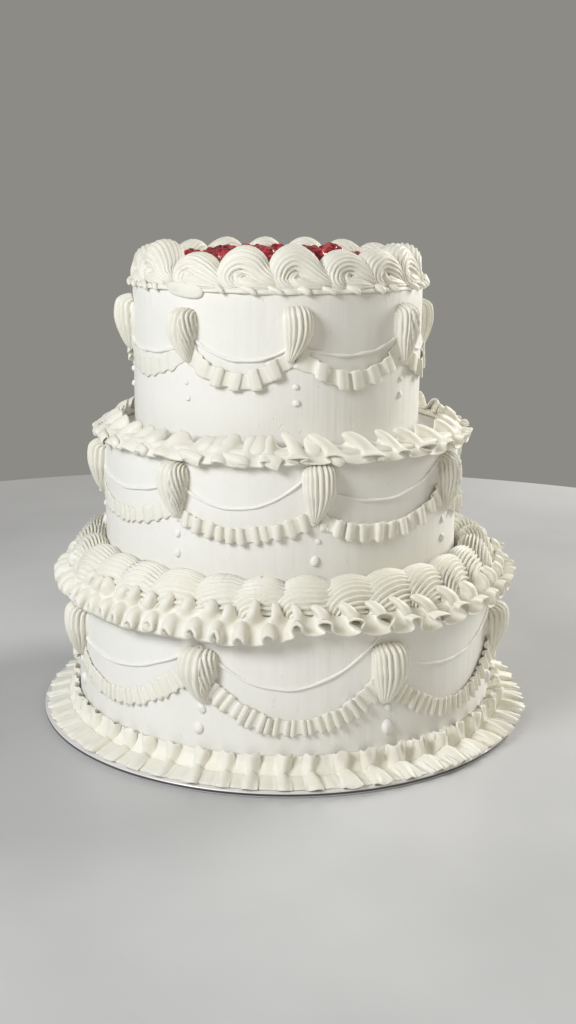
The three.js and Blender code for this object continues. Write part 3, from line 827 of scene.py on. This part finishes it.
def top_skirt():
    """A thin skirt under the swirls, with small tips, one broad tongue and one raised flap."""
    rng = default_rng(64)
    body = Body()
    tips, tongue, flap = 36, math.radians(-35), math.radians(84)
    profile = [(0.9, -0.6, 1.0, 40, 0), (0.2, 1.0, 0.8, 35, 0), (-6, 2.0, 0.4, 20, 0),
               (-22, 3.4, 0.2, 10, 0)]
    folded_ruffle(body, TOP, profile, profile, fold_sizes(44, 0.0, 0.3, rng), per=8, across=8,
                  pinch=0.2, thickness=[(0.9, 0.9), (1.3, 1.3), (1.8, 1.8)], rng=rng, uneven=0.6)
    for k in range(tips):
        angle = TURN * (k + rng.uniform(-0.22, 0.22)) / tips
        length = rng.uniform(3.0, 7.5)
        size = rng.uniform(0.6, 1.05)
        if abs(math.remainder(angle - tongue, TURN)) < 0.15:
            continue
        petal(body, TOP, angle,
              [(-length, -3.5, 4.0, 1.6 * size, 1.3, 0), (-0.3 * length, 0.4, 2.4, 2.2 * size, 1.7, 0),
               (0.45 * length, 2.3, 1.0, 2.4 * size, 1.8, 0),
               (length, 3.0, -0.4 - size, 2.0 * size, 1.6, 0)],
              face=(1.0, 0.2), rows=10, columns=12)
    petal(body, TOP, tongue,
          [(-16, 0.3, 1.2, 3.8, 0.9, 0), (-6, 0.9, 0.2, 4.4, 1.1, 0),
           (5, 1.2, -0.8, 4.5, 1.3, 0), (14.5, 1.2, -1.2, 4.2, 1.4, 0)],
          face=(1.0, 0.0), rows=18, columns=16)
    petal(body, TOP, flap,
          [(-4, -2, 4.5, 2.5, 1.6, 0), (0, 2.2, 3.5, 4.5, 1.8, 0), (5, 3.6, 2.5, 3.8, 1.4, 0)],
          face=(1.0, 0.3), rows=10, columns=14, creases=3, crease=0.2)
    piped("piped_top_skirt", body, "top_skirt_ruffle")


bottom_tier_ruffle()
middle_tier_ruffle()
base_ruffle()
top_skirt()


# ---------- shell border


def border_shell(angle, rng):
    """One shell of the border. Its ridges rise from the ledge at its head, turn over and run
    along the border to its tail, which the next head covers."""
    rows, ridges = 22, 20
    middle, inside, ledge = 138, 126, 104.6
    first, last = math.radians(-42), math.radians(172)
    theta = section_angles(first, last, front=5 * ridges + 1, back=7)
    lift = rng.uniform(0.94, 1.05)
    # Place along the border, height, the section's height and half width, its turn in degrees, and
    # its radius
    form = curve([(8, 105.2, 11, 12.0, -4, 139.5), (7, 107.4, 14.5, 14.0, 20, 139),
                  (9, 110.2, 18, 15.0, 48, 138.5), (14, 111.8, 21, 15.0, 72, 138),
                  (21, 112.2, 20.8, 14.0, 88, 137.3), (29, 111.6, 18.4, 12.5, 94, 136.5),
                  (38, 110.6, 14.6, 10, 96, 135.5)], rows)
    u, z, tall, wide, turn, radius = form.T[..., None]
    t = np.linspace(0, 1, rows)[:, None]
    turn = np.radians(turn)
    phase = ridges * (theta - first) / (last - first) + 0.15 * np.sin(4 * t + rng.uniform(0, TURN))
    phase = phase + rng.uniform(0.1, 0.5) * np.sin(10 * t + rng.uniform(0, TURN))
    flute = ridge(phase, 0.24, 0.85)
    flute = flute * (1 + 0.02 * np.sin(2 * theta + 5 * t + rng.uniform(0, TURN)))
    r = radius + wide * np.cos(theta) * flute
    q = tall * lift * np.sin(theta) * flute
    z = z + q * np.sin(turn)
    s = u - q * np.cos(turn)
    r = np.maximum(r - 0.12 * (z - 112), inside)
    z = np.maximum(z, ledge)
    # The border stands a little further out at the cake's sides.
    r = r + 3.5 * math.sin(angle) ** 4
    return polar(BOTTOM.x * 0.5 + MIDDLE.x * 0.5, angle + s / middle, r, z)


def shell_border():
    rng = default_rng(71)
    body = Body()
    count = 31
    for k in range(count):
        body.tube(border_shell((k + rng.uniform(-0.05, 0.05)) * TURN / count, rng))
    piped("piped_shell_border", body, "shell_border")


shell_border()


# ---------- top swirls

SWIRL_RING = 88.5
SWIRL_FLOOR = 309.6


def rope(knots, rows, ridges, depth, angle, taller, rng):
    """A fluted rope of icing in the ring of swirls. knots are (along, height, radius, outward)."""
    per_ridge = 4
    knots = np.array(knots, float)
    knots[:, :3] *= 1 + rng.uniform(-0.05, 0.05, (len(knots), 3))
    s, h, thick, out = curve(knots, rows).T
    path = np.stack([s, h], -1)
    along = unit(np.gradient(path, axis=0))
    side = np.stack([-along[:, 1], along[:, 0]], -1)
    theta = all_round(ridges * per_ridge)[None, :]
    t = np.linspace(0, 1, rows)[:, None]
    phase = ridges * theta / TURN + rng.uniform(0.6, 1.8) * t
    phase = phase + 0.1 * np.sin(5 * t + rng.uniform(0, TURN))
    flute = ridge(phase, depth, 0.5)
    flute = flute * (1 + 0.03 * np.sin(2 * theta + 5 * t + rng.uniform(0, TURN)))
    n = thick[:, None] * np.cos(theta) * flute
    d = out[:, None] + 1.25 * thick[:, None] * np.sin(theta) * flute
    x = s[:, None] + n * side[:, 0][:, None]
    z = SWIRL_FLOOR + np.maximum((h[:, None] + n * side[:, 1][:, None]) * taller, 0)
    return polar(TOP.x, angle + x / SWIRL_RING, SWIRL_RING + d, z)


def swirl(body, angle, taller, rng):
    """One swirl: it starts low in the middle, curls left and up, comes over the top and runs down
    to a thin tail on the right. A small curl fills its middle and flows out under the tail."""
    large = [(1, 1.6, 2.6, 8), (-4.4, 2.2, 5.4, 6.8), (-8.6, 6.6, 7.8, 4.0), (-6.8, 12.2, 9.4, 0.8),
             (-0.8, 15.0, 10.4, -1.2), (5.2, 13.0, 10.2, -0.6), (10.8, 9.2, 8.8, 2.0),
             (16.0, 5.7, 6.7, 4.8), (20.5, 3.3, 4.0, 7.0), (24, 2.1, 1.1, 8.0)]
    small = [(6.5, 10.2, 2.0, 3.0), (2.0, 11.0, 3.8, 4.6), (-1.6, 8.2, 5.0, 6.0), (0.4, 4.8, 5.2, 7.6),
             (6.4, 3.3, 4.8, 9.0), (12.5, 2.3, 3.2, 10.4), (18, 1.5, 1.4, 11.4)]
    body.tube(rope(large, rows=34, ridges=22, depth=0.19, angle=angle, taller=taller, rng=rng))
    body.tube(rope(small, rows=20, ridges=12, depth=0.2, angle=angle, taller=1.0, rng=rng))


def top_swirls():
    """The ring of swirls. Each has its own height and a small shift in degrees."""
    heights = [1.1, 1.02, 1.0, 1.12, 1.02, 0.95, 1.02, 1.08, 1.1,
               1.08, 1.1, 1.04, 0.95, 1.0, 1.0, 1.16, 0.9, 1.1]
    shifts = [2.0, 2.5, 1.0, -1.5, 0, 0.5, 1.0, 1.5, 2.0, 2.0, 1.5, 1.0, 0, 0.5, -2, -4.0, 0.5, 1.4]
    count, first, left = len(heights), 0.85, 18
    for k in range(count):
        rng = default_rng(81 + k)
        body = Body()
        angle = (k + first) * TURN / count - left / SWIRL_RING + math.radians(shifts[k])
        swirl(body, angle, heights[k], rng)
        piped(f"piped_top_swirl_{k + 1}", body, f"top_swirl_{k + 1}")


top_swirls()


# ---------- berries


def ball(subdivisions):
    """Points and triangles of a unit sphere made from an icosahedron."""
    mesh = bpy.data.meshes.new("ball")
    work = bmesh.new()
    bmesh.ops.create_icosphere(work, subdivisions=subdivisions, radius=1)
    work.to_mesh(mesh)
    work.free()
    points = np.array([v.co for v in mesh.vertices], float)
    faces = np.array([p.vertices for p in mesh.polygons], int)
    bpy.data.meshes.remove(mesh)
    return points, faces


def spread(count):
    """Points spread evenly over a unit sphere."""
    k = np.arange(count) + 0.5
    z = 1 - 2 * k / count
    a = k * math.pi * (3 - math.sqrt(5))
    r = np.sqrt(1 - z * z)
    return np.stack([r * np.cos(a), r * np.sin(a), z], -1)


def berry(points, rng, size):
    """A berry of round drupelets, a little longer than it is wide, turned at random."""
    drupelet, valley, bulge = 0.4, 0.76, 0.29
    seeds = spread(int(rng.integers(30, 38)))
    seeds = unit(seeds + rng.normal(size=seeds.shape) * 0.05)
    near = np.arccos(np.clip(points @ seeds.T, -1, 1)).min(1)
    dome = np.sqrt(np.clip(1 - (near / drupelet) ** 2, 0, 1))
    radius = valley + bulge * dome
    shape = points * radius[:, None] * np.array([1, 1, rng.uniform(1.0, 1.25)])
    turn = Matrix.Rotation(rng.uniform(0, TURN), 3, "Z")
    turn = turn @ Matrix.Rotation(rng.uniform(0.3, 1.6), 3, "X")
    turn = turn @ Matrix.Rotation(rng.uniform(0, TURN), 3, "Z")
    return size * shape @ np.array(turn).T


def mound(distance):
    """The mound's height under the berries at a distance from its middle."""
    tall, reach = 16.5, 74
    return tall * (1 - (distance / reach) ** 7)


def berry_heap():
    """One berry in the middle and three rings round it, on a low mound."""
    rng = default_rng(91)
    body = Body()
    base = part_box("berry_heap")[0].z / MM
    points, faces = ball(4)
    places = [(0.0, 0.0)]
    for ring, count in ((20, 6), (40, 11), (61, 18)):
        start = rng.uniform(0, TURN)
        for k in range(count):
            distance = ring + rng.uniform(-2, 2)
            places.append((distance, start + (k + rng.uniform(-0.12, 0.12)) * TURN / count))
    for distance, angle in places:
        size = rng.uniform(8.4, 10)
        height = base + mound(distance) + rng.uniform(-2.5, 0.8)
        body.add(berry(points, rng, size) + polar(TOP.x, angle, distance, height), [faces])
    angle = all_round(48)
    distance = np.array([67, 66.5, 63, 54, 38, 24, 10])[:, None]
    lift = np.array([0, 5, 10, 13, 15, 16, 16.5])[:, None]
    distance = distance + waves(angle, rng, (3, 5, 8), 0.5)[None, :]
    body.tube(polar(TOP.x, angle[None, :], distance, base + lift))
    make_piece("glazed_red_berries", body, BERRIES, "berry_heap")


berry_heap()


# ---------- board


def cake_board():
    """A thin disc with a rounded edge. rows are its (radius, height) from below to above."""
    radius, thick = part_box("cake_board")[1].x / MM, BOARD_TOP
    edge = curve([(radius - 1.6, 0), (radius - 0.3, 0.6), (radius, thick * 0.5),
                  (radius - 0.3, thick - 0.6), (radius - 1.6, thick)], 13)
    rows = np.vstack([[(60, 0), (150, 0)], edge, [(165, thick), (150, thick), (60, thick)]])
    body = Body()
    body.tube(polar(0, all_round(256)[None, :], rows[:, :1], rows[:, 1:]))
    make_piece("foil_cake_board", body, FOIL, "cake_board")


cake_board()


# ---------- stage, light and camera

# From here on, all lengths are in metres.


def floor():
    radius = 0.82
    look = Look("pale_floor")
    cloud = look.ramp(look.noise(3, 4), (0.3, (0.5, 0.505, 0.52)), (0.7, (0.64, 0.645, 0.66)))
    look.links.new(cloud, look.shader.inputs["Base Color"])
    look.shader.inputs["Roughness"].default_value = 0.35
    mesh = bpy.data.meshes.new("floor")
    ring = [(radius * math.cos(a), radius * math.sin(a), 0) for a in all_round(128)]
    mesh.from_pydata(ring, [], [list(range(len(ring)))])
    mesh.materials.append(look.material)
    add_object("floor", mesh)


def around(degrees, distance, height):
    """A place round the cake. 0 degrees is in front of it and positive is to the right."""
    angle = math.radians(degrees)
    return distance * math.sin(angle), -distance * math.cos(angle), height


def light(name, place, aim, size, power, colour):
    """A round lamp that points at the cake's axis. aim is the height there."""
    data = bpy.data.lights.new(name, "AREA")
    data.shape = "DISK"
    data.size = size
    data.energy = power
    data.color = colour
    lamp = add_object(name, data)
    lamp.location = place
    turn = (Vector((0, 0, aim)) - Vector(place)).to_track_quat("-Z", "Y")
    lamp.rotation_euler = turn.to_euler()


def dim_world():
    world = bpy.data.worlds.new("studio")
    world.use_nodes = True
    world.node_tree.nodes["Background"].inputs["Color"].default_value = (0.265, 0.257, 0.238, 1)
    bpy.context.scene.world = world


def camera(place, lens, pitch, roll):
    """pitch is how far it looks down and roll is how far it is turned, in degrees."""
    data = bpy.data.cameras.new("camera")
    data.lens = lens
    data.sensor_width = 36
    piece = add_object("camera", data)
    piece.matrix_world = (Matrix.Translation(place)
                          @ Matrix.Rotation(math.radians(90 - pitch), 4, "X")
                          @ Matrix.Rotation(math.radians(roll), 4, "Z"))
    bpy.context.scene.camera = piece


floor()
light("key", around(-42, 1.35, 0.9), aim=0.2, size=0.58, power=15.4, colour=(0.975, 0.99, 1.0))
light("rim", around(120, 1.4, 0.8), aim=0.17, size=0.8, power=21, colour=(1.0, 0.985, 0.93))
light("fill", (1.2, -1.9, 0.7), aim=0.14, size=1.6, power=4.4, colour=(1.0, 0.87, 0.56))
dim_world()
camera((0.00271, -0.918, 0.3674), lens=45.17, pitch=13.81, roll=0.61)
bpy.context.scene.view_settings.view_transform = "Standard"
